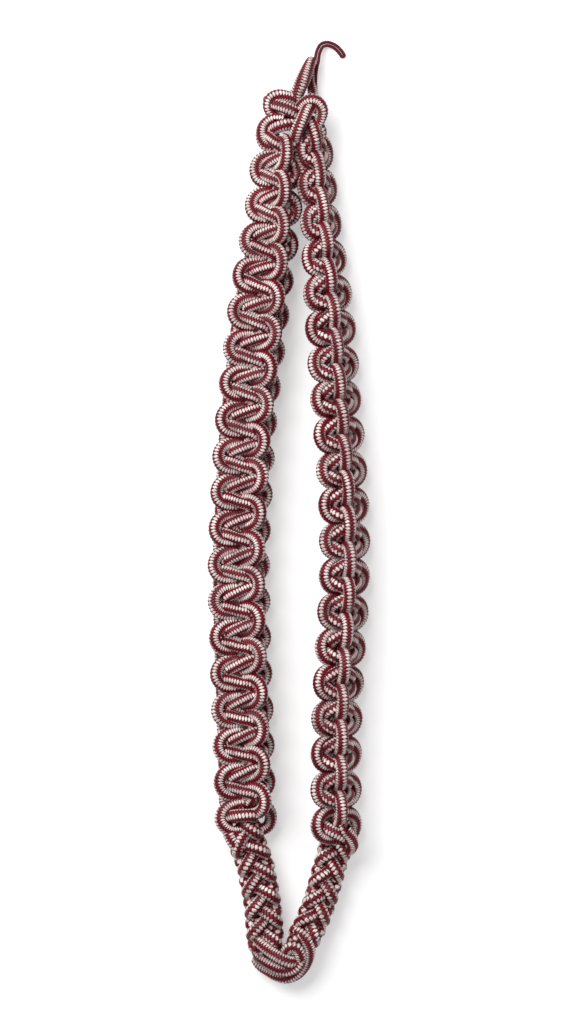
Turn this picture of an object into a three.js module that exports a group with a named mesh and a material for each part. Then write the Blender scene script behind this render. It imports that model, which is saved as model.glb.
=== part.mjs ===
// A braided shoulder cord: four gimp cords interlocked into two long legs, joined by a plaited
// underarm turn at one end and a knotted head at the other. A gimp retaining loop and a thin
// attachment loop come out of the head. It lies flat. Millimetres: +X across the two legs, +Y from
// the underarm turn towards the head, +Z up from the surface that it lies on.
import * as THREE from "three";

// Gimp cord.
const CORD_RADIUS = 2.4;
const CORD_SIDES = 8;
// Four cords side by side two by two: where a leg meets the head, and where it meets the plait.
const LAYER_RISE = 5.1;
const HEAD_HALF_SPAN = 2.5;
const PLAIT_HALF_SPAN = 4.1;
// Lengths over which a leg opens out from the head, and closes down to the plait.
const HEAD_TAPER = 56;
const PLAIT_TAPER = 24;
const LEG_STEPS = 26;
const PLAIT_STEPS = 60;
const PLAIT_JOIN_STEPS = 0.45;
const ROUTE_POINTS_PER_STEP = 4;
// Head turns: two arcs on each side, one above the other.
const TURN_RADIUS = 5.3;
const TURN_STEPS = 12;
const TURN_SWEEP = THREE.MathUtils.degToRad(120);
const LEFT_TURN_CENTRE = [-2.0, 170.4];
const RIGHT_TURN_CENTRE = [9.2, 170.4];
// Thread that sews the cords together inside the head.
const SEIZING_RADIUS = 1.4;
const SEIZING_FROM = 164.5;
const SEIZING_TO = 176.5;
const SEIZING_X = 3.6;
// Gimp retaining loop.
const RETAINING_RADIUS = 1.9;
const RETAINING_STEPS = 22;
// Thin attachment loop, a doubled cord.
const THIN_RADIUS = 0.62;
const THIN_SIDES = 8;
const THIN_HALF_SPAN = 0.85;
const THIN_BIGHT_RADIUS = 1.35;
const THIN_Z = 0.85;
const HOOK_STEPS = 40;
const STEM_STEPS = 8;
// The row's origin in the coordinates below: the middle of the gimp work, on the surface.
const ORIGIN_X = 1.283;
const ORIGIN_Y = -2.464;

// Leg axes, from the head to the plait.
const LEFT_LEG_AXIS = [
  [-0.9, 162.0], [-3.4, 152.0], [-4.8, 135.2], [-6.7, 120.5], [-8.8, 105.8], [-10.7, 94.5],
  [-13.9, 68.0], [-17.0, 40.7], [-18.9, 12.6], [-20.2, -17.6], [-19.9, -48.3], [-18.8, -81.5],
  [-18.0, -108.4], [-17.6, -122.0], [-17.3, -130.0], [-17.3, -134.4],
];
const RIGHT_LEG_AXIS = [
  [9.3, 162.0], [11.2, 152.0], [12.8, 135.2], [14.3, 120.5], [15.6, 106.5], [16.9, 93.2],
  [18.8, 70.1], [20.4, 47.9], [22.3, 26.0], [23.7, 4.2], [24.2, -20.2], [23.4, -41.6],
  [22.0, -63.0], [21.0, -84.0], [20.6, -106.3], [20.6, -122.0], [20.6, -130.0], [20.6, -134.4],
];
// Underarm turn: down from the left leg, round an arc at the bottom, and up to the right leg.
const PLAIT_LEFT_AXIS = [
  [-17.3, -135.8], [-17.1, -139.0], [-15.4, -145.5], [-12.8, -154.5], [-11.1, -164.0], [-9.5, -175.0],
];
const PLAIT_RIGHT_AXIS = [
  [11.3, -175.0], [15.2, -163.5], [18.2, -153.0], [20.2, -144.5], [20.6, -139.0], [20.6, -135.8],
];
const BOTTOM_CENTRE = [0.5, -182.3];
const BOTTOM_RADIUS = 8.3;
const BOTTOM_ANGLES = [190, 210, 230, 250, 270, 290, 310, 330, 350];
// Offsets of a leg's four cords from its axis at full width: across, then height above the surface.
// The left leg lies with its wide face up. The right leg is turned on its axis, with one cord on top.
const LEFT_LEG_CORDS = {
  upper_left: [-9.7, 11.4],
  upper_right: [9.7, 11.4],
  lower_left: [-9.7, 0],
  lower_right: [9.7, 0],
};
const RIGHT_LEG_CORDS = {
  upper_left: [-8.3, 18.4],
  upper_right: [2.3, 21.9],
  lower_left: [-2.3, 0],
  lower_right: [8.3, 3.4],
};
const BUNDLE_SIDES = {
  upper_left: [-1, 1],
  upper_right: [1, 1],
  lower_left: [-1, 0],
  lower_right: [1, 0],
};
const RETAINING_ROUTE = [
  [3.4, 179.2, 4.6], [4.8, 182.4, 4.0], [6.6, 185.6, 3.8], [7.9, 188.6, 3.7], [10.0, 190.5, 3.7],
  [12.1, 188.6, 3.7], [11.7, 185.4, 3.8], [10.9, 182.3, 4.0], [10.4, 179.2, 4.6],
];
// Centreline of the doubled thin cord, on each side of the point where it passes the retaining loop.
const STEM_CENTRE = [[13.0, 179.0], [13.1, 182.0], [12.9, 185.5], [12.6, 188.6]];
const HOOK_CENTRE = [
  [12.5, 189.4], [12.8, 191.6], [13.8, 193.8], [15.6, 195.5], [17.8, 196.0], [20.0, 195.2],
  [21.8, 193.6], [22.9, 192.2],
];

const gimp = new THREE.MeshStandardMaterial({ color: 0x9a4450, roughness: 0.55, metalness: 0 });
const thinCord = new THREE.MeshStandardMaterial({ color: 0x6e2330, roughness: 0.65, metalness: 0 });
const thread = new THREE.MeshStandardMaterial({ color: 0x4a1620, roughness: 0.8, metalness: 0 });

const group = new THREE.Group();
const cord = new THREE.Group();
cord.position.set(-ORIGIN_X, -ORIGIN_Y, 0);
group.add(cord);

function add(name, geometry, material) {
  const mesh = new THREE.Mesh(geometry, material);
  mesh.name = name;
  cord.add(mesh);
  return mesh;
}

// A polygon with a flat facing each way along its axes; apothem is its half width across the flats.
function section(apothem, sides) {
  const corner = apothem / Math.cos(Math.PI / sides);
  const points = [];
  for (let i = 0; i < sides; i += 1) {
    const angle = ((2 * i + 1) * Math.PI) / sides;
    points.push(new THREE.Vector2(corner * Math.cos(angle), corner * Math.sin(angle)));
  }
  return new THREE.Shape(points);
}

function tube(points, radius, sides, steps) {
  const path = new THREE.CatmullRomCurve3(points, false, "centripetal");
  return new THREE.ExtrudeGeometry(section(radius, sides), {
    steps,
    bevelEnabled: false,
    extrudePath: path,
  });
}

function flatCurve(points) {
  return new THREE.CatmullRomCurve3(
    points.map(([x, y]) => new THREE.Vector3(x, y, 0)), false, "centripetal");
}

// The point of a curve at t, moved to its left-hand side and up.
function beside(curve, t, across, height) {
  const point = curve.getPointAt(t);
  const along = curve.getTangentAt(t);
  return new THREE.Vector3(point.x - along.y * across, point.y + along.x * across, height);
}

function legPoints(axisPoints, full, side) {
  const axis = flatCurve(axisPoints);
  const length = axis.getLength();
  const points = [];
  for (let i = 0; i <= LEG_STEPS; i += 1) {
    const t = i / LEG_STEPS;
    const open = THREE.MathUtils.smoothstep(t * length, 0, HEAD_TAPER);
    const close = THREE.MathUtils.smoothstep((1 - t) * length, 0, PLAIT_TAPER);
    const headX = side[0] * HEAD_HALF_SPAN;
    const plaitX = side[0] * PLAIT_HALF_SPAN;
    const bundleX = open < 1 ? headX : plaitX;
    const amount = Math.min(open, close);
    const across = THREE.MathUtils.lerp(bundleX, full[0], amount);
    const height = THREE.MathUtils.lerp(side[1] * LAYER_RISE, full[1], amount);
    points.push(beside(axis, t, across, CORD_RADIUS + height));
  }
  return points;
}

function addLeg(legName, axisPoints, cords) {
  for (const [cordName, full] of Object.entries(cords)) {
    const points = legPoints(axisPoints, full, BUNDLE_SIDES[cordName]);
    add(`${legName}_${cordName}_cord`, tube(points, CORD_RADIUS, CORD_SIDES, LEG_STEPS), gimp.clone());
  }
}

// The underarm turn is split at its lowest point into a left half and a right half.
function addPlait() {
  const bottom = BOTTOM_ANGLES.map((degrees) => {
    const angle = THREE.MathUtils.degToRad(degrees);
    const x = BOTTOM_CENTRE[0] + BOTTOM_RADIUS * Math.cos(angle);
    const y = BOTTOM_CENTRE[1] + BOTTOM_RADIUS * Math.sin(angle);
    return [x, y];
  });
  const axis = flatCurve([...PLAIT_LEFT_AXIS, ...bottom, ...PLAIT_RIGHT_AXIS]);
  let lowest = 0;
  for (let i = 0; i <= PLAIT_STEPS; i += 1) {
    if (axis.getPointAt(i / PLAIT_STEPS).y < axis.getPointAt(lowest / PLAIT_STEPS).y) {
      lowest = i;
    }
  }
  const halves = {
    plait_left: [0, lowest - PLAIT_JOIN_STEPS],
    plait_right: [lowest + PLAIT_JOIN_STEPS, PLAIT_STEPS],
  };
  for (const [halfName, [from, to]] of Object.entries(halves)) {
    for (const [cordName, side] of Object.entries(BUNDLE_SIDES)) {
      const steps = Math.round(to - from);
      const pointCount = steps * ROUTE_POINTS_PER_STEP;
      const points = [];
      for (let i = 0; i <= pointCount; i += 1) {
        const t = THREE.MathUtils.lerp(from, to, i / pointCount) / PLAIT_STEPS;
        const height = CORD_RADIUS + side[1] * LAYER_RISE;
        points.push(beside(axis, t, side[0] * PLAIT_HALF_SPAN, height));
      }
      add(`${halfName}_${cordName}_cord`, tube(points, CORD_RADIUS, CORD_SIDES, steps), gimp.clone());
    }
  }
}

function addHeadTurn(name, centre, middleAngle, height) {
  const points = [];
  for (let i = 0; i <= TURN_STEPS; i += 1) {
    const angle = middleAngle + TURN_SWEEP * ((2 * i) / TURN_STEPS - 1);
    const x = centre[0] + TURN_RADIUS * Math.cos(angle);
    const y = centre[1] + TURN_RADIUS * Math.sin(angle);
    points.push(new THREE.Vector3(x, y, height));
  }
  add(name, tube(points, CORD_RADIUS, CORD_SIDES, TURN_STEPS), gimp.clone());
}

function addSeizing() {
  const half = (SEIZING_TO - SEIZING_FROM) / 2;
  const profile = [
    new THREE.Vector2(0, -half),
    new THREE.Vector2(SEIZING_RADIUS * 0.8, -half),
    new THREE.Vector2(SEIZING_RADIUS, -half + 1),
    new THREE.Vector2(SEIZING_RADIUS, half - 1),
    new THREE.Vector2(SEIZING_RADIUS * 0.8, half),
    new THREE.Vector2(0, half),
  ];
  const barrel = add("head_seizing_thread", new THREE.LatheGeometry(profile, 12), thread.clone());
  barrel.position.set(SEIZING_X, (SEIZING_FROM + SEIZING_TO) / 2, CORD_RADIUS + LAYER_RISE / 2);
}

function addRetainingLoop() {
  const points = RETAINING_ROUTE.map(([x, y, z]) => new THREE.Vector3(x, y, z));
  add("retaining_loop", tube(points, RETAINING_RADIUS, CORD_SIDES, RETAINING_STEPS), gimp.clone());
}

// The doubled thin cord: two straight stems, then a hook that runs out and back round its bight.
function addAttachmentLoop() {
  const stem = flatCurve(STEM_CENTRE);
  for (const [name, side] of [["left", 1], ["right", -1]]) {
    const points = [];
    for (let i = 0; i <= STEM_STEPS; i += 1) {
      points.push(beside(stem, i / STEM_STEPS, side * THIN_HALF_SPAN, THIN_Z));
    }
    const geometry = tube(points, THIN_RADIUS, THIN_SIDES, STEM_STEPS);
    add(`attachment_loop_stem_${name}`, geometry, thinCord.clone());
  }
  const centre = flatCurve(HOOK_CENTRE);
  const out = [];
  const back = [];
  const halfSteps = 12;
  for (let i = 0; i <= halfSteps; i += 1) {
    const t = i / halfSteps;
    const span = THREE.MathUtils.lerp(THIN_HALF_SPAN, THIN_BIGHT_RADIUS, t * t * t);
    out.push(beside(centre, t, span, THIN_Z));
    back.unshift(beside(centre, t, -span, THIN_Z));
  }
  const end = centre.getPointAt(1);
  const along = centre.getTangentAt(1);
  const heading = Math.atan2(along.y, along.x);
  const bight = [];
  for (const turn of [60, 30, 0, -30, -60]) {
    const angle = heading + THREE.MathUtils.degToRad(turn);
    const x = end.x + THIN_BIGHT_RADIUS * Math.cos(angle);
    const y = end.y + THIN_BIGHT_RADIUS * Math.sin(angle);
    bight.push(new THREE.Vector3(x, y, THIN_Z));
  }
  const route = [...out, ...bight, ...back];
  add("attachment_loop_hook", tube(route, THIN_RADIUS, THIN_SIDES, HOOK_STEPS), thinCord.clone());
}

addLeg("left_leg", LEFT_LEG_AXIS, LEFT_LEG_CORDS);
addLeg("right_leg", RIGHT_LEG_AXIS, RIGHT_LEG_CORDS);
addPlait();
addHeadTurn("head_left_turn_lower", LEFT_TURN_CENTRE, Math.PI, CORD_RADIUS);
addHeadTurn("head_left_turn_upper", LEFT_TURN_CENTRE, Math.PI, CORD_RADIUS + LAYER_RISE);
addHeadTurn("head_right_turn_lower", RIGHT_TURN_CENTRE, 0, CORD_RADIUS);
addHeadTurn("head_right_turn_upper", RIGHT_TURN_CENTRE, 0, CORD_RADIUS + LAYER_RISE);
addSeizing();
addRetainingLoop();
addAttachmentLoop();

export default group;
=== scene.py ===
# A braided shoulder cord: four two-colour gimp cords interlocked into two legs, plaited round the
# underarm turn and knotted at the head, with a gimp retaining loop and a thin attachment loop.
# Routes and cord sizes are in mm. Camera, lights and the places where the plait bends into the legs
# are in metres.
import math
import bpy
import numpy as np
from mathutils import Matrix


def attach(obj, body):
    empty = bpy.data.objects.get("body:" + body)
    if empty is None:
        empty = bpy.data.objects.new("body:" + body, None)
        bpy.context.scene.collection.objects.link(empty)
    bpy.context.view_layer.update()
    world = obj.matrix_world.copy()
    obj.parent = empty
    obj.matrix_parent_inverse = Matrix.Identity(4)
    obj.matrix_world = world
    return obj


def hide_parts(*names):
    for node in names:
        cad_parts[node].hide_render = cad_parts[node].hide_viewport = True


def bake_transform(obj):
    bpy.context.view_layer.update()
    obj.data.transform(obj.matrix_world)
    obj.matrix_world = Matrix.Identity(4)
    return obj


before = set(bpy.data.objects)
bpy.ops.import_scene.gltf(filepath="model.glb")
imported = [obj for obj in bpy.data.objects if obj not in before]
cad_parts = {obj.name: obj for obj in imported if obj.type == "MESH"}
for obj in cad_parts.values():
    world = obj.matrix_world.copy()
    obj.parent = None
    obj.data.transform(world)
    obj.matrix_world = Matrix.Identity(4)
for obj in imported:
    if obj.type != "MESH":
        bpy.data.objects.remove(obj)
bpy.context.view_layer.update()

ROOT = "head_and_underarm"
MM = 0.001

# Camera: straight down on the cord, far away with a long lens.
VIEW_CENTRE = (-0.0009, 0.0025)
VIEW_HEIGHT = 0.430
VIEW_PLANE = 0.012     # the height above the table at which VIEW_HEIGHT just fits the picture
CAMERA_DISTANCE = 2.2
SENSOR = 36.0


def make_camera():
    data = bpy.data.cameras.new("camera")
    data.sensor_width = SENSOR
    data.lens = SENSOR * CAMERA_DISTANCE / VIEW_HEIGHT
    data.clip_end = 20
    camera = bpy.data.objects.new("camera", data)
    camera.location = (VIEW_CENTRE[0], VIEW_CENTRE[1], CAMERA_DISTANCE + VIEW_PLANE)
    bpy.context.collection.objects.link(camera)
    bpy.context.scene.camera = camera


# ---------------------------------------------------------------- curves

def smooth_path(points, step=0.25):
    """A Catmull-Rom curve through the points (rows of any width), sampled about every step."""
    p = np.asarray(points, float)
    p = np.vstack([2 * p[0] - p[1], p, 2 * p[-1] - p[-2]])
    out = []
    for i in range(1, len(p) - 2):
        a, b, c, d = p[i - 1], p[i], p[i + 1], p[i + 2]
        n = max(3, int(np.linalg.norm((c - b)[:3]) / step) + 1)
        t = (np.arange(n) / n)[:, None]
        out.append(0.5 * (2 * b + (c - a) * t + (2 * a - 5 * b + 4 * c - d) * t**2
                          + (3 * b - a - 3 * c + d) * t**3))
    out.append(p[-2][None])
    return np.vstack(out)


def lengths(path):
    """The length along the path up to each of its points."""
    return np.concatenate([[0], np.cumsum(np.linalg.norm(np.diff(path[:, :3], axis=0), axis=1))])


def tidy_path(path, step):
    """The same path with evenly spaced points."""
    run = lengths(path)
    count = max(4, int(round(run[-1] / step)))
    at = np.linspace(0, run[-1], count + 1)
    return np.stack([np.interp(at, run, path[:, k]) for k in range(path.shape[1])], axis=1)


def carried_frames(path):
    """Tangents and normals along the path, each normal carried on from the last without twist."""
    tangent = np.gradient(path, axis=0)
    tangent /= np.linalg.norm(tangent, axis=1)[:, None]
    normal = np.empty_like(tangent)
    seed = np.array([0.0, 0.0, 1.0])
    if abs(tangent[0] @ seed) > 0.9:  # the cord starts nearly upright
        seed = np.array([1.0, 0.0, 0.0])
    normal[0] = np.cross(np.cross(tangent[0], seed), tangent[0])
    normal[0] /= np.linalg.norm(normal[0])
    for i in range(1, len(path)):
        n = normal[i - 1] - (normal[i - 1] @ tangent[i]) * tangent[i]
        normal[i] = n / np.linalg.norm(n)
    return tangent, normal


# ---------------------------------------------------------------- wound cord

RIB_PITCH = 1.1        # width of one turn of the winding
RINGS_PER_RIB = 3
RIB_PROFILE = np.array([-0.24, 0.06, 0.06])  # how far each ring of a rib stands out, groove first
SIDES = 12
SLANT_RINGS = 12       # how many rings the winding climbs in one turn round the cord
BAND_TURN = 95.0       # length in which the colour bands go once round
# how far the colour bands are turned from one cord to the next, so that they differ a little
BAND_SHIFT = {"leg": 0.21, "plait": 0.3, "turn": 0.23, "leg_end": 0.31, "head": 0.17}
RETAINING_LOOP_BANDS = 0.6


def winding_verts(path, thick, rings, groove, sides, slant):
    """The cord's surface points: each ring climbs by slant rings as it goes round."""
    tangent, normal = carried_frames(path)
    side = np.cross(tangent, normal)
    i = np.arange(rings)[:, None]
    j = np.arange(sides)[None, :]
    at = i + slant * j / sides
    low = np.floor(at).astype(int)
    part = (at - low)[..., None]
    high = np.minimum(low + 1, len(path) - 1)

    def between(values):
        return values[low] * (1 - part) + values[high] * part

    angle = (2 * np.pi * j / sides)[..., None]
    out = between(normal) * np.cos(angle) + between(side) * np.sin(angle)
    out /= np.linalg.norm(out, axis=2)[..., None]
    r = between(thick[:, None]) + (groove * RIB_PROFILE)[i % RINGS_PER_RIB][..., None]
    return (between(path) + out * r).reshape(-1, 3)


def winding_quads(rings, step, sides, slant, band_start):
    """The quads with their texture coordinates; the last side joins ring k to ring k + slant."""
    j = np.arange(sides)[None, :]
    k = np.arange(rings - 1)[:, None]
    a = k * sides + j
    b = (k + 1) * sides + j
    wrap = j == sides - 1
    a2 = np.where(wrap, (k + slant) * sides, a + 1)
    b2 = np.where(wrap, (k + 1 + slant) * sides, b + 1)
    quads = np.stack([a, a2, b2, b], axis=2)
    u0 = np.broadcast_to(j / sides, (rings - 1, sides))
    v0 = np.broadcast_to(k / RINGS_PER_RIB, (rings - 1, sides))
    du, dv = 1 / sides, 1 / RINGS_PER_RIB
    twist = (k + slant * j / sides) * step / BAND_TURN + band_start
    u = np.stack([u0, u0 + du, u0 + du, u0], axis=2) + twist[..., None]
    v = np.stack([v0, v0, v0 + dv, v0 + dv], axis=2)
    keep = ~(wrap & (k + 1 + slant >= rings))  # near the end the last side has no ring to join
    return quads[keep], u[keep], v[keep]


def wound_cord(name, points, material, radius=None, pitch=RIB_PITCH, groove=1.0, sides=SIDES,
               slant=SLANT_RINGS, band_start=0.0):
    """A cord with a winding of slanted ribs. points are (x, y, z, radius) in mm, or (x, y, z) where
    one radius is given for the whole cord."""
    step = pitch / RINGS_PER_RIB
    path = tidy_path(smooth_path(points), step)
    thick = path[:, 3] if radius is None else np.full(len(path), radius)
    path = path[:, :3]
    rings = len(path) - slant
    verts = winding_verts(path, thick, rings, groove, sides, slant)
    quads, u, v = winding_quads(rings, step, sides, slant, band_start)
    # the two ends, each one face along the winding's stepped edge
    first_cap = [*range(sides), *[n * sides for n in range(slant, 0, -1)]]
    last_cap = [(rings - 1) * sides + n for n in range(sides)]
    last_cap += [(rings - 2 - n) * sides + sides - 1 for n in range(slant)]
    faces = quads.tolist() + [first_cap, last_cap]
    mesh = bpy.data.meshes.new(name)
    mesh.from_pydata((verts * MM).tolist(), [], faces)
    layer = mesh.uv_layers.new(name="winding")
    flat = np.zeros((len(mesh.loops), 2))
    flat[: u.size, 0] = u.reshape(-1)
    flat[: u.size, 1] = v.reshape(-1)
    flat[u.size :, 1] = 0.5  # the ends, away from a groove
    layer.data.foreach_set("uv", flat.reshape(-1).astype(np.float32))
    mesh.polygons.foreach_set("use_smooth", np.ones(len(mesh.polygons), bool))
    mesh.materials.append(material)
    mesh.validate()
    mesh.update()
    obj = bpy.data.objects.new(name, mesh)
    bpy.context.collection.objects.link(obj)
    return obj


# ---------------------------------------------------------------- materials

class Nodes:
    """Short calls for building a node material."""

    def __init__(self, name):
        self.material = bpy.data.materials.new(name)
        self.material.use_nodes = True
        self.tree = self.material.node_tree
        self.shader = self.tree.nodes["Principled BSDF"]

    def add(self, kind, **settings):
        node = self.tree.nodes.new(kind)
        for key, value in settings.items():
            setattr(node, key, value)
        return node

    def feed(self, socket, value):
        if isinstance(value, bpy.types.NodeSocket):
            self.tree.links.new(value, socket)
        else:
            socket.default_value = value

    def math(self, operation, *values):
        node = self.add("ShaderNodeMath", operation=operation)
        for socket, value in zip(node.inputs, values):
            self.feed(socket, value)
        return node.outputs[0]

    def ramp(self, value, low, high, to_low=0.0, to_high=1.0):
        node = self.add("ShaderNodeMapRange", interpolation_type="SMOOTHSTEP")
        for socket, v in zip(node.inputs, (value, low, high, to_low, to_high)):
            self.feed(socket, v)
        return node.outputs[0]

    def mix(self, factor, a, b):
        node = self.add("ShaderNodeMix", data_type="RGBA")
        self.feed(node.inputs["Factor"], factor)
        self.feed(node.inputs["A"], a)
        self.feed(node.inputs["B"], b)
        return node.outputs["Result"]

    def noise(self, vector, scale, detail=2.0):
        node = self.add("ShaderNodeTexNoise")
        self.feed(node.inputs["Vector"], vector)
        self.feed(node.inputs["Scale"], scale)
        self.feed(node.inputs["Detail"], detail)
        return node.outputs["Fac"]

    def combine(self, x, y, z=0.0):
        node = self.add("ShaderNodeCombineXYZ")
        for socket, v in zip(node.inputs, (x, y, z)):
            self.feed(socket, v)
        return node.outputs[0]

    def winding(self):
        """u once round the cord, v one for each rib."""
        uv = self.add("ShaderNodeUVMap", uv_map="winding")
        parts = self.add("ShaderNodeSeparateXYZ")
        self.feed(parts.inputs[0], uv.outputs[0])
        return parts.outputs[0], parts.outputs[1]

    def bump(self, height, strength, distance):
        node = self.add("ShaderNodeBump")
        self.feed(node.inputs["Height"], height)
        self.feed(node.inputs["Strength"], strength)
        self.feed(node.inputs["Distance"], distance)
        self.feed(self.shader.inputs["Normal"], node.outputs[0])


MAROON = (0.080, 0.003, 0.009, 1)
MAROON_LIT = (0.270, 0.010, 0.024, 1)
MAROON_GROOVE_SHADE = (0.006, 0.001, 0.002, 1)
WHITE = (0.86, 0.78, 0.74, 1)
WHITE_SHADED = (0.27, 0.130, 0.135, 1)
WHITE_GROOVE_SHADE = (0.085, 0.022, 0.028, 1)
THIN_RED = (0.140, 0.006, 0.015, 1)
THIN_RED_LIT = (0.30, 0.018, 0.036, 1)
THIN_RED_CREVICE_SHADE = (0.045, 0.006, 0.011, 1)
THREAD_LIT = (0.11, 0.015, 0.026, 1)
THREAD_SHADE_BETWEEN_WRAPS = (0.02, 0.004, 0.008, 1)
BANDS = 4              # maroon bands round a gimp cord, and as many white ones
BAND_STAGGER = 0.30    # how far a band shifts across one rib, as a share of a pair of bands
WHITE_EDGE = (0.195, 0.235)  # where white fades to maroon, from the middle of a white band
THIN_CROSSINGS = 4.0   # diagonals round the thin cord's braid, each way
THREAD_WRAPS = 1600.0  # half wraps of the thread in a metre


def gimp_material():
    """Rayon wound over a core: lengthwise bands of maroon and white, in slanted ribs."""
    n = Nodes("gimp_cord")
    u, v = n.winding()
    in_rib = n.math("FRACT", v)
    from_groove = n.math("ABSOLUTE", n.math("SUBTRACT", in_rib, 0.5))  # 0.5 in the groove
    stagger = n.math("MULTIPLY", in_rib, BAND_STAGGER)
    band = n.math("FRACT", n.math("ADD", n.math("MULTIPLY", u, float(BANDS)), stagger))
    from_white = n.math("ABSOLUTE", n.math("SUBTRACT", band, 0.5))
    is_white = n.ramp(from_white, *WHITE_EDGE, 1.0, 0.0)
    stretched = n.combine(n.math("MULTIPLY", u, 9.0), n.math("MULTIPLY", v, 7.0))
    filaments = n.noise(stretched, 1.0, detail=3.0)
    coord = n.add("ShaderNodeTexCoord")
    patches = n.noise(coord.outputs["Object"], 120.0)
    tone = n.math("ADD", n.math("MULTIPLY", filaments, 0.7), n.math("MULTIPLY", patches, 0.3))
    # tone is random noise along the filaments and in patches; it mixes the maroon with a lit copy and
    # the white between a shaded and a lit copy, so the random fibre tone is painted sheen
    red = n.mix(n.ramp(tone, 0.35, 0.65), MAROON, MAROON_LIT)
    # painted shade in the rib grooves: the maroon darkens to near black towards each groove
    red = n.mix(n.ramp(from_groove, 0.18, 0.44), red, MAROON_GROOVE_SHADE)
    white_painted_sheen = n.mix(n.ramp(tone, 0.34, 0.62), WHITE_SHADED, WHITE)
    # painted shade in the rib grooves: the white darkens to dark red towards each groove
    white = n.mix(n.ramp(from_groove, 0.26, 0.50), white_painted_sheen, WHITE_GROOVE_SHADE)
    n.feed(n.shader.inputs["Base Color"], n.mix(is_white, red, white))
    n.feed(n.shader.inputs["Roughness"], n.ramp(filaments, 0.2, 0.8, 0.34, 0.50))
    n.shader.inputs["Specular IOR Level"].default_value = 0.22
    loose = n.math("MULTIPLY", filaments, 0.5)
    rounded = n.ramp(from_groove, 0.25, 0.5, 1.0, 0.0)
    n.bump(n.math("ADD", loose, rounded), 0.55, 0.00016)
    return n.material


def thin_cord_material():
    """A fine braided cord: crossing diagonal plaits, dark red."""
    n = Nodes("thin_cord")
    u, v = n.winding()
    diagonals = []
    for way in ("ADD", "SUBTRACT"):
        across = n.math("MULTIPLY", u, THIN_CROSSINGS)
        diagonals.append(n.math("FRACT", n.math(way, across, n.math("MULTIPLY", v, 0.5))))
    ridge = n.math("MULTIPLY", *[n.math("PINGPONG", d, 0.5) for d in diagonals])
    lift = n.ramp(ridge, 0.0, 0.16)
    stretched = n.combine(n.math("MULTIPLY", u, 22.0), n.math("MULTIPLY", v, 4.0))
    fuzz = n.noise(stretched, 1.0, detail=3.0)
    base = n.mix(n.ramp(fuzz, 0.3, 0.7), THIN_RED, THIN_RED_LIT)
    # painted shade in the crevices between the crossing plaits: where lift is low the red goes dark
    n.feed(n.shader.inputs["Base Color"], n.mix(lift, THIN_RED_CREVICE_SHADE, base))
    n.feed(n.shader.inputs["Roughness"], n.ramp(fuzz, 0.2, 0.8, 0.50, 0.66))
    n.shader.inputs["Specular IOR Level"].default_value = 0.15
    n.bump(n.math("ADD", lift, n.math("MULTIPLY", fuzz, 0.4)), 0.6, 0.00012)
    return n.material


def thread_material():
    """Sewing thread laid round and round, dark red."""
    n = Nodes("sewing_thread")
    coord = n.add("ShaderNodeTexCoord")
    parts = n.add("ShaderNodeSeparateXYZ")
    n.feed(parts.inputs[0], coord.outputs["Object"])
    wraps = n.math("PINGPONG", n.math("MULTIPLY", parts.outputs[1], THREAD_WRAPS), 1.0)
    # painted shade between the wraps and painted light on their tops
    n.feed(n.shader.inputs["Base Color"], n.mix(wraps, THREAD_SHADE_BETWEEN_WRAPS, THREAD_LIT))
    n.shader.inputs["Roughness"].default_value = 0.7
    n.bump(wraps, 0.6, 0.0002)
    return n.material


GIMP = gimp_material()
THIN = thin_cord_material()
THREAD = thread_material()


# ---------------------------------------------------------------- legs

ORIGIN = np.array([1.283, -2.464])  # the shared frame's origin in the CAD source's coordinates


def in_frame(points):
    """Route points of the CAD source, moved into the shared frame."""
    p = np.array(points, float)
    p[:, :2] -= ORIGIN
    return p


LEFT_LEG_AXIS = in_frame([
    [-0.9, 162.0], [-3.4, 152.0], [-4.8, 135.2], [-6.7, 120.5], [-8.8, 105.8], [-10.7, 94.5],
    [-13.9, 68.0], [-17.0, 40.7], [-18.9, 12.6], [-20.2, -17.6], [-19.9, -48.3], [-18.8, -81.5],
    [-18.0, -108.4], [-17.6, -122.0], [-17.3, -130.0], [-17.3, -134.4], [-16.8, -142.0],
])
RIGHT_LEG_AXIS = in_frame([
    [9.3, 162.0], [11.2, 152.0], [12.8, 135.2], [14.3, 120.5], [15.6, 106.5], [16.9, 93.2],
    [18.8, 70.1], [20.4, 47.9], [22.3, 26.0], [23.7, 4.2], [24.2, -20.2], [23.4, -41.6],
    [22.0, -63.0], [21.0, -84.0], [20.6, -106.3], [20.6, -122.0], [20.6, -130.0], [20.6, -134.4],
    [20.2, -142.0],
])
RIDGE_ANGLES = (150.0, 30.0, -30.0, -150.0)  # degrees: the ridges round the leg's section
RIDGE = 11.2           # from the leg's axis to the centreline of a ridge
WIDE_FACE = 5.0        # from the axis to the cords that cross the wide faces
NARROW_FACE = 8.6
ARC_RADIUS = 2.6       # half thickness of the cord on the ridges
FACE_RADIUS = 2.35     # and pressed flat on the faces
NOMINAL_PERIOD = 15.0  # the period for which the places along the leg below are given
# half an arc of a ridge: distance from the leg's axis, place along the leg from the arc's middle
HALF_ARC = [(10.1, 3.2), (7.4, 5.1), (4.0, 5.75), (0.8, 5.9)]
UNDER_BESIDE = 5.6     # from the axis to a cord under a neighbouring ridge's arc
BESIDE_SHIFT = 0.6     # how far it lies from there towards the opposite ridge
UNDER_OPPOSITE = 7.0   # from the axis to a cord under the opposite ridge's arc
TRIP_PLACES = (5.6, 3.7, 1.9, 3.7, 5.6)  # places along the leg of the trip under the other ridges


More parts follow.
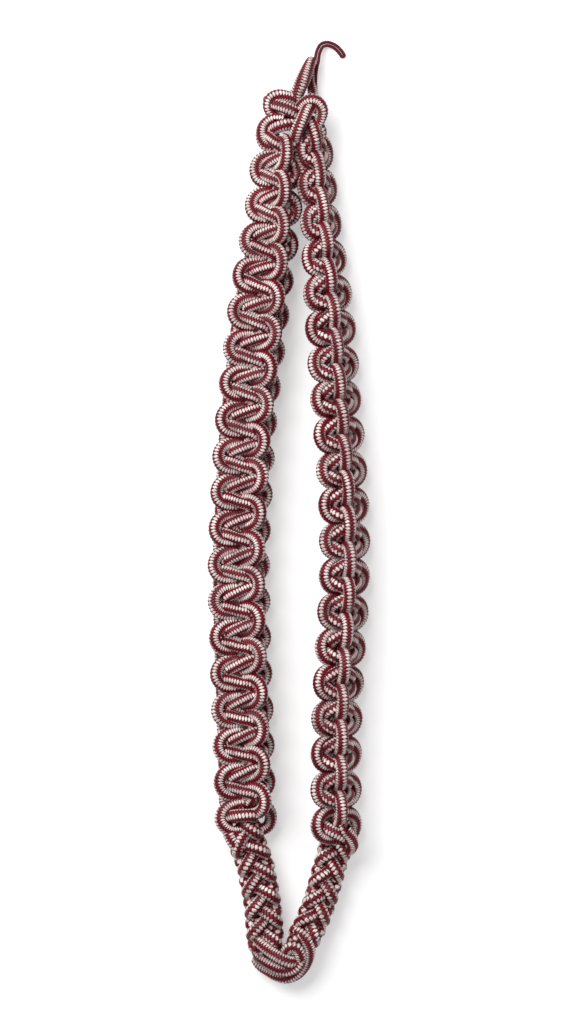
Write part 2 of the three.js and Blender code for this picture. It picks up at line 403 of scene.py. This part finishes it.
class Leg:
    """A leg's axis. Its twist (degrees), height (mm) and tightness (a share of the section's size)
    are each given as two lists: lengths along the leg, and the values there."""

    def __init__(self, axis, twist, height, tight, first, period):
        flat = smooth_path(np.column_stack([axis, np.zeros(len(axis))]), 0.5)
        self.run = lengths(flat)
        self.axis = flat
        self.tangent = np.gradient(flat, axis=0)
        self.tangent /= np.linalg.norm(self.tangent, axis=1)[:, None]
        self.twist, self.height, self.tight = twist, height, tight
        self.first, self.period = first, period

    def place(self, local):
        """Rows of (across, up, along, radius) in the leg's section, as (x, y, z, radius)."""
        s = local[:, 2]
        base = np.stack([np.interp(s, self.run, self.axis[:, k]) for k in range(2)], axis=1)
        t = np.stack([np.interp(s, self.run, self.tangent[:, k]) for k in range(2)], axis=1)
        beyond = s - np.clip(s, self.run[0], self.run[-1])
        base += t * beyond[:, None]
        angle = np.radians(np.interp(s, *self.twist))
        tight = np.interp(s, *self.tight)
        p = tight * (local[:, 0] * np.cos(angle) - local[:, 1] * np.sin(angle))
        q = tight * (local[:, 0] * np.sin(angle) + local[:, 1] * np.cos(angle))
        across = np.stack([-t[:, 1], t[:, 0]], axis=1)
        height = np.interp(s, *self.height)
        return np.column_stack([base + across * p[:, None], height + q, local[:, 3]])


def ridge_direction(k):
    a = math.radians(RIDGE_ANGLES[k % 4])
    return np.array([math.cos(a), math.sin(a)])


def face_point(k):
    """The middle of the face between ridge k and the next; the wide faces follow the even ridges."""
    way = ridge_direction(k) + ridge_direction(k + 1)
    return way / np.linalg.norm(way) * (NARROW_FACE if k % 2 else WIDE_FACE)


def cord_period(k, middle, period):
    """One period of the cord whose arcs make ridge k: its arc, then its trip under the next ridge's
    arcs, round under the opposite ridge's and back under the previous one's."""
    own, following = ridge_direction(k), ridge_direction(k + 1)
    opposite, previous = ridge_direction(k + 2), ridge_direction(k + 3)
    unit = period / NOMINAL_PERIOD
    arc = [(out, -along) for out, along in HALF_ARC[::-1]] + [(RIDGE, 0.0)] + HALF_ARC
    rows = [[*(own * out), middle + along * unit, ARC_RADIUS] for out, along in arc]
    shift = opposite * BESIDE_SHIFT
    trip = [following * UNDER_BESIDE + shift, face_point(k + 1), opposite * UNDER_OPPOSITE,
            face_point(k + 2), previous * UNDER_BESIDE + shift]
    rows += [[*point, middle + along * unit, FACE_RADIUS] for point, along in zip(trip, TRIP_PLACES)]
    return rows


def leg_cord(side, leg, k, arcs, ridge):
    """The cord that makes ridge k, with its arcs half a period on where k is odd."""
    start = leg.first + (leg.period / 2 if k % 2 else 0)
    rows = []
    for n in range(arcs):
        rows += cord_period(k, start + n * leg.period, leg.period)
    rows = rows[: -len(TRIP_PLACES)]  # the last arc has no trip after it
    name = f"{side}_leg_gimp_{ridge}"
    piece = wound_cord(name, leg.place(np.array(rows)), GIMP, band_start=BAND_SHIFT["leg"] * k)
    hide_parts(f"{side}_leg_{ridge}_cord")
    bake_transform(piece)


LEFT = Leg(
    LEFT_LEG_AXIS,
    twist=([0, 25, 50, 80, 300], [38, 35, 22, 11, 10]),
    height=([0, 40, 75, 110, 300], [13.4, 12.6, 11.2, 10.8, 10.8]),
    tight=([0, 30, 75, 300], [0.78, 0.84, 1.0, 1.0]),
    first=3.9, period=15.15,
)
RIGHT_PERIOD = 14.9
RIGHT = Leg(
    RIGHT_LEG_AXIS,
    twist=([0, 300], [108, 108]),
    height=([0, 40, 75, 300], [10.0, 11.0, 13.8, 13.8]),
    tight=([0, 40, 80, 300], [0.66, 0.74, 1.0, 1.0]),
    first=11.0 - RIGHT_PERIOD / 2, period=RIGHT_PERIOD,
)


# each leg's ridges, in the order of RIDGE_ANGLES, with the number of arcs of each
LEFT_RIDGES = [("upper_left", 20), ("upper_right", 19), ("lower_right", 20), ("lower_left", 19)]
RIGHT_RIDGES = [("lower_left", 20), ("upper_left", 20), ("upper_right", 20), ("lower_right", 20)]


def make_legs():
    for k, (ridge, arcs) in enumerate(LEFT_RIDGES):
        leg_cord("left", LEFT, k, arcs, ridge)
    for k, (ridge, arcs) in enumerate(RIGHT_RIDGES):
        leg_cord("right", RIGHT, k, arcs, ridge)


# ---------------------------------------------------------------- plait round the underarm turn

PLAIT_LEFT_AXIS = [
    [-19.3, -125.0, 10.0], [-19.3, -129.4, 9.8], [-18.9, -134.5, 9.0], [-16.8, -139.9, 8.4],
    [-14.7, -145.8, 8.1], [-13.5, -152.1, 8.0], [-12.4, -157.6, 8.0], [-11.4, -164.7, 8.0],
    [-10.8, -172.3, 8.0], [-10.6, -178.6, 8.0], [-10.4, -184.6, 7.6],
]
PLAIT_RIGHT_AXIS = [
    [19.5, -124.5, 11.5], [19.7, -131.9, 10.5], [18.9, -138.7, 8.6], [17.2, -144.5, 8.1],
    [15.1, -152.1, 8.0], [13.0, -159.7, 8.0], [10.9, -165.5, 8.0], [8.0, -172.3, 8.0],
    [5.0, -178.1, 8.0], [2.5, -183.6, 8.0],
]
PLAIT_PITCH = 18.8     # one turn of a strand round the plait
PLAIT_LEFT_WIDE = 5.4  # from the plait's axis to the centreline of a strand at its side
PLAIT_RIGHT_WIDE = 4.5
PLAIT_HIGH = 5.0       # and of a strand on top
# half a turn of a strand over the upper side: share of a turn, and across and up as shares of the
# two sizes above. It passes under one strand, then over the next. The other half is turned over.
HALF_TURN = [(0.0, -1.0, 0.0), (0.09, -0.58, 0.05), (0.18, -0.08, 0.45), (0.28, 0.38, 1.0),
             (0.39, 0.80, 0.95)]
PLAIT_TUCK = 7.0       # length over which the strands come together where an end is hidden
PLAIT_TUCKED = 0.2     # how far apart they are at that end, as a share of the full distance
PLAIT_RADIUS = 2.65
# name, axis, width, turn at which its first strand starts, where the bend to the leg starts and ends
PLAIT_HALVES = [
    ("left", PLAIT_LEFT_AXIS, PLAIT_LEFT_WIDE, 0.0,
     (-0.011, -0.172, 0.008), (-0.0185, -0.136, 0.008)),
    ("right", PLAIT_RIGHT_AXIS, PLAIT_RIGHT_WIDE, 0.1,
     (0.009, -0.172, 0.008), (0.0187, -0.139, 0.008)),
]
PLAIT_NODES = ["upper_left", "upper_right", "lower_right", "lower_left"]
# the strands round the bottom of the turn, from inside the left half to inside the right half
TURN_STRANDS = [
    [[-14.2, -174.6, 6.0], [-13.2, -177.2, 10.5], [-10.8, -179.6, 13.5], [-7.2, -182.6, 15.0],
     [-3.0, -185.4, 15.5], [0.4, -186.6, 13.5], [3.0, -185.6, 9.0]],
    [[-14.0, -182.0, 5.0], [-12.0, -184.8, 9.0], [-8.4, -187.4, 11.5], [-4.6, -189.4, 12.5],
     [-0.4, -189.8, 12.5], [3.1, -187.8, 12.5], [4.6, -184.4, 11.5], [3.5, -181.4, 8.0]],
    [[-14.6, -184.6, 4.5], [-12.4, -188.0, 5.5], [-9.0, -190.4, 6.5], [-5.6, -192.4, 7.5],
     [-1.3, -193.2, 8.5], [3.3, -191.2, 9.5], [6.7, -186.7, 10.5], [8.0, -181.5, 12.5],
     [6.8, -176.7, 14.0], [4.0, -174.2, 12.5], [1.8, -174.4, 8.0]],
    [[-2.2, -185.4, 7.0], [-1.7, -182.4, 12.0], [0.2, -179.9, 14.5], [2.9, -180.4, 15.0],
     [4.2, -184.0, 13.5], [3.4, -188.0, 8.0]],
]
# thick strands that close the legs' lower ends: name, body, centreline
END_STRANDS = [
    ("left_leg_end_strand", "left_leg",
     [[-28.0, -126.4, 9.0], [-25.2, -125.2, 14.0], [-20.6, -124.6, 17.0], [-16.2, -124.8, 16.0],
      [-13.6, -126.4, 11.0]]),
    ("left_leg_end_tuck", "left_leg",
     [[-26.4, -128.6, 9.0], [-25.6, -132.4, 13.0], [-23.6, -136.4, 14.0], [-20.6, -138.8, 12.0],
      [-17.8, -139.8, 8.0]]),
    ("right_leg_end_strand", "right_leg",
     [[11.4, -126.4, 12.0], [14.0, -128.8, 17.5], [17.6, -131.2, 19.5], [21.0, -133.2, 18.5],
      [23.0, -135.4, 14.0]]),
    ("right_leg_end_bight", "right_leg",
     [[22.4, -126.2, 20.5], [23.2, -130.0, 21.0], [25.4, -133.6, 19.0], [26.0, -137.2, 15.5],
      [24.0, -139.6, 11.5], [20.8, -139.2, 8.0]]),
]


def plait_strand(axis, wide, k, first_turn):
    """Strand k of a round plait of four: two wind each way, over and under each other."""
    line = smooth_path(axis, step=0.5)
    run = lengths(line)
    end = run[-1]
    way = -1 if k % 2 else 1
    lead = k * 0.25  # the strands are a quarter of a turn apart
    rows = []
    half = int(math.floor(2 * (first_turn + lead)))
    while True:
        side = 1 if half % 2 == 0 else -1
        for share, across, up in HALF_TURN:
            s = (half * 0.5 + share - first_turn - lead) * PLAIT_PITCH
            if s > end:
                return rows
            if s < 0:
                continue
            open_up = min(1.0, PLAIT_TUCKED + s / PLAIT_TUCK, PLAIT_TUCKED + (end - s) / PLAIT_TUCK)
            point = [np.interp(s, run, line[:, n]) for n in range(3)]
            ahead = [np.interp(s + 1, run, line[:, n]) - np.interp(s - 1, run, line[:, n])
                     for n in range(2)]
            size = math.hypot(*ahead)
            shift = way * side * across * wide * open_up / size
            rows.append([point[0] - ahead[1] * shift, point[1] + ahead[0] * shift,
                         point[2] + side * up * PLAIT_HIGH * open_up])
        half += 1


def thick_strand(name, rows, band_start):
    piece = wound_cord(name, rows, GIMP, radius=PLAIT_RADIUS, band_start=band_start)
    return piece


def make_plait():
    for half, axis, wide, first_turn, start, end in PLAIT_HALVES:
        for k, node in enumerate(PLAIT_NODES):
            rows = plait_strand(axis, wide, k, first_turn)
            piece = thick_strand(f"plait_{half}_gimp_{k + 1}", rows, BAND_SHIFT["plait"] * k)
            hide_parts(f"plait_{half}_{node}_cord")
            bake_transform(piece)
    for k, rows in enumerate(TURN_STRANDS):
        piece = thick_strand(f"underarm_turn_gimp_{k + 1}", rows, BAND_SHIFT["turn"] * k)
        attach(piece, ROOT)
    for k, (name, body, rows) in enumerate(END_STRANDS):
        piece = thick_strand(name, rows, BAND_SHIFT["leg_end"] * k)
        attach(piece, body)


# ---------------------------------------------------------------- head

# name, the CAD node it replaces, half thickness, centreline
HEAD_STRANDS = [
    ("head_left_turn", "head_left_turn_upper", 2.5,
     [[3.8, 173.0, 8.0], [0.4, 176.1, 11.5], [-4.6, 177.5, 13.0], [-8.1, 176.1, 12.5],
      [-9.1, 173.0, 11.5], [-7.6, 170.0, 9.5], [-3.8, 167.5, 6.0], [0.8, 166.3, 4.0]]),
    ("head_inner_strand", "head_left_turn_lower", 2.7,
     [[-9.3, 176.3, 7.0], [-6.5, 174.1, 12.0], [-2.1, 172.1, 14.5], [2.1, 169.8, 14.0],
      [5.4, 167.5, 9.0]]),
    ("head_right_turn", "head_right_turn_upper", 2.5,
     [[3.0, 169.5, 9.0], [4.6, 172.9, 13.0], [8.2, 175.3, 16.5], [11.5, 174.5, 17.0],
      [13.4, 171.5, 16.5], [12.9, 168.2, 15.5], [10.8, 165.0, 14.5], [7.6, 161.9, 13.0],
      [5.0, 158.3, 9.0]]),
    ("head_spine_strand", "head_right_turn_lower", 2.7,
     [[10.9, 170.5, 9.0], [9.0, 172.4, 13.5], [7.1, 170.5, 18.0], [5.2, 166.7, 20.0],
      [3.3, 162.9, 20.0], [1.9, 159.1, 17.0], [1.7, 155.8, 11.0]]),
    ("head_side_strand", None, 2.3,
     [[6.4, 168.6, 10.0], [10.1, 165.4, 12.6], [12.6, 163.7, 12.5], [13.0, 161.2, 11.5],
      [11.3, 158.7, 9.0], [8.4, 157.0, 6.0]]),
    ("head_upper_crossing", None, 2.7,
     [[-9.8, 161.0, 7.0], [-7.0, 163.3, 12.5], [-3.4, 164.6, 15.5], [0.8, 164.9, 15.0],
      [4.6, 163.6, 11.0]]),
    ("head_lower_crossing", None, 2.7,
     [[-10.6, 160.8, 7.0], [-8.4, 159.4, 12.5], [-5.0, 157.4, 15.5], [-1.4, 154.8, 15.5],
      [1.4, 151.6, 11.0]]),
]


def make_head():
    for name, node, radius, rows in HEAD_STRANDS:
        bands = BAND_SHIFT["head"] * len(rows)
        piece = wound_cord(name, rows, GIMP, radius=radius, band_start=bands)
        if node:
            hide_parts(node)
        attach(piece, ROOT)
    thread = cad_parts["head_seizing_thread"]
    thread.data.materials.clear()
    thread.data.materials.append(THREAD)


# ---------------------------------------------------------------- loops

# the gimp loop's centreline, with its half thickness
RETAINING_ROUTE = [
    [2.0, 165.6, 9.0, 2.8], [0.6, 169.6, 7.0, 2.9], [0.6, 173.6, 7.4, 3.0],
    [2.4, 177.6, 10.5, 3.1], [4.2, 181.3, 11.8, 3.1],
    [5.9, 185.2, 11.4, 3.0], [7.3, 188.5, 10.2, 2.7], [8.2, 190.7, 8.8, 2.4],
    [8.9, 192.1, 6.6, 2.2], [9.3, 190.6, 4.2, 2.2], [9.3, 187.3, 3.4, 2.2],
    [9.3, 183.1, 3.4, 2.2], [9.5, 178.9, 4.6, 2.2], [9.2, 175.1, 6.4, 2.2],
    [8.4, 171.0, 8.6, 2.2], [7.4, 167.0, 10.0, 2.2],
]
STEM_RIGHT = [
    [10.4, 172.6, 5.4], [10.6, 175.1, 5.0], [10.7, 178.9, 4.4], [10.7, 183.1, 4.6],
    [10.9, 186.8, 5.0], [11.3, 189.6, 5.2],
]
STEM_LEFT = [
    [6.6, 169.6, 8.5], [7.6, 173.8, 6.0], [8.4, 178.0, 5.0], [7.9, 181.8, 6.0],
    [8.2, 185.2, 6.6], [9.2, 188.1, 6.6], [10.3, 190.6, 5.9],
]
HOOK_MIDDLE = [
    [11.2, 192.3, 5.0], [11.7, 195.8, 4.0], [13.0, 198.8, 2.9], [14.9, 199.9, 2.0],
    [16.9, 199.8, 1.4], [19.2, 198.7, 1.0], [21.1, 196.8, 0.9], [22.0, 195.5, 0.9],
]
THIN_RADIUS = 0.68
THIN_SPREAD = 0.72     # from the middle of the doubled cord to either strand
THIN_PITCH = 1.0       # one crossing of the thin cord's braid
THIN_SIDES = 8
THIN_GROOVE = 0.3      # its ribs are shallower than the gimp's
TIP_REACH = 0.8        # how far the fold at the hook's end reaches past the hook's last point
TIP_SPREAD = 0.75      # and how far apart it is there, as a share of the distance before


def thin_route():
    """Out through the gimp loop's eye, along the hook, round its end and back to the head."""
    middle = smooth_path(HOOK_MIDDLE, step=0.8)
    ahead = np.gradient(middle[:, :2], axis=0)
    ahead /= np.linalg.norm(ahead, axis=1)[:, None]
    across = np.column_stack([-ahead[:, 1], ahead[:, 0], np.zeros(len(middle))]) * THIN_SPREAD
    onward = np.column_stack([ahead, np.zeros(len(middle))])[-1]
    tip = middle[-1] + onward * TIP_REACH
    spread = across[-1] * TIP_SPREAD
    out = [*STEM_LEFT, *(middle + across), tip + spread]
    back = [tip - spread, *(middle - across)[::-1], *STEM_RIGHT[::-1]]
    return out + back


def make_loops():
    # the thin cord first: it is a cord in its own right
    route = smooth_path(thin_route(), step=0.5)
    thin = wound_cord("attachment_loop_thin_cord", route, THIN, radius=THIN_RADIUS,
                      pitch=THIN_PITCH, groove=THIN_GROOVE, sides=THIN_SIDES, slant=0)
    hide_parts("attachment_loop_stem_left", "attachment_loop_stem_right",
                "attachment_loop_hook")
    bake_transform(thin)
    gimp = wound_cord("retaining_loop_gimp", RETAINING_ROUTE, GIMP, band_start=RETAINING_LOOP_BANDS)
    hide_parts("retaining_loop")
    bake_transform(gimp)


# ---------------------------------------------------------------- surroundings

FLOOR_REACH = 3.0      # from the middle of the floor to its edges
FLOOR_COLOUR = (0.62, 0.62, 0.62, 1)
FLOOR_GLOW = 0.42      # the floor's own light, which keeps the ground near white
WORLD_LIGHT = 0.22
WHITE_LIGHT = (1, 1, 1, 1)
LIGHT_TARGET = (0.0, 0.0, 0.01)


def light(name, location, size, power):
    """A square area light that faces the target."""
    data = bpy.data.lights.new(name, "AREA")
    data.shape = "RECTANGLE"
    data.size = data.size_y = size
    data.energy = power
    obj = bpy.data.objects.new(name, data)
    obj.location = location
    way = np.array(LIGHT_TARGET) - np.array(location)
    away = math.hypot(way[0], way[1])
    obj.rotation_euler = (math.atan2(away, -way[2]), 0.0, math.atan2(way[1], way[0]) - math.pi / 2)
    bpy.context.collection.objects.link(obj)


def make_surroundings():
    material = bpy.data.materials.new("floor")
    material.use_nodes = True
    shader = material.node_tree.nodes["Principled BSDF"]
    shader.inputs["Base Color"].default_value = FLOOR_COLOUR
    shader.inputs["Emission Color"].default_value = WHITE_LIGHT
    shader.inputs["Emission Strength"].default_value = FLOOR_GLOW
    shader.inputs["Roughness"].default_value = 0.8
    mesh = bpy.data.meshes.new("floor")
    corners = [(x * FLOOR_REACH, y * FLOOR_REACH, 0) for x, y in ((-1, -1), (1, -1), (1, 1), (-1, 1))]
    mesh.from_pydata(corners, [], [(0, 1, 2, 3)])
    mesh.materials.append(material)
    floor = bpy.data.objects.new("floor", mesh)
    bpy.context.collection.objects.link(floor)
    world = bpy.data.worlds.new("world")
    world.use_nodes = True
    background = world.node_tree.nodes["Background"]
    background.inputs["Color"].default_value = WHITE_LIGHT
    background.inputs["Strength"].default_value = WORLD_LIGHT
    bpy.context.scene.world = world
    light("key", (-0.6, 0.7, 1.2), size=1.1, power=32.0)
    light("fill", (0.9, -0.3, 1.0), size=0.9, power=4.0)
    bpy.context.scene.view_settings.view_transform = "Standard"


make_camera()
make_loops()
make_legs()
make_plait()
make_head()
make_surroundings()
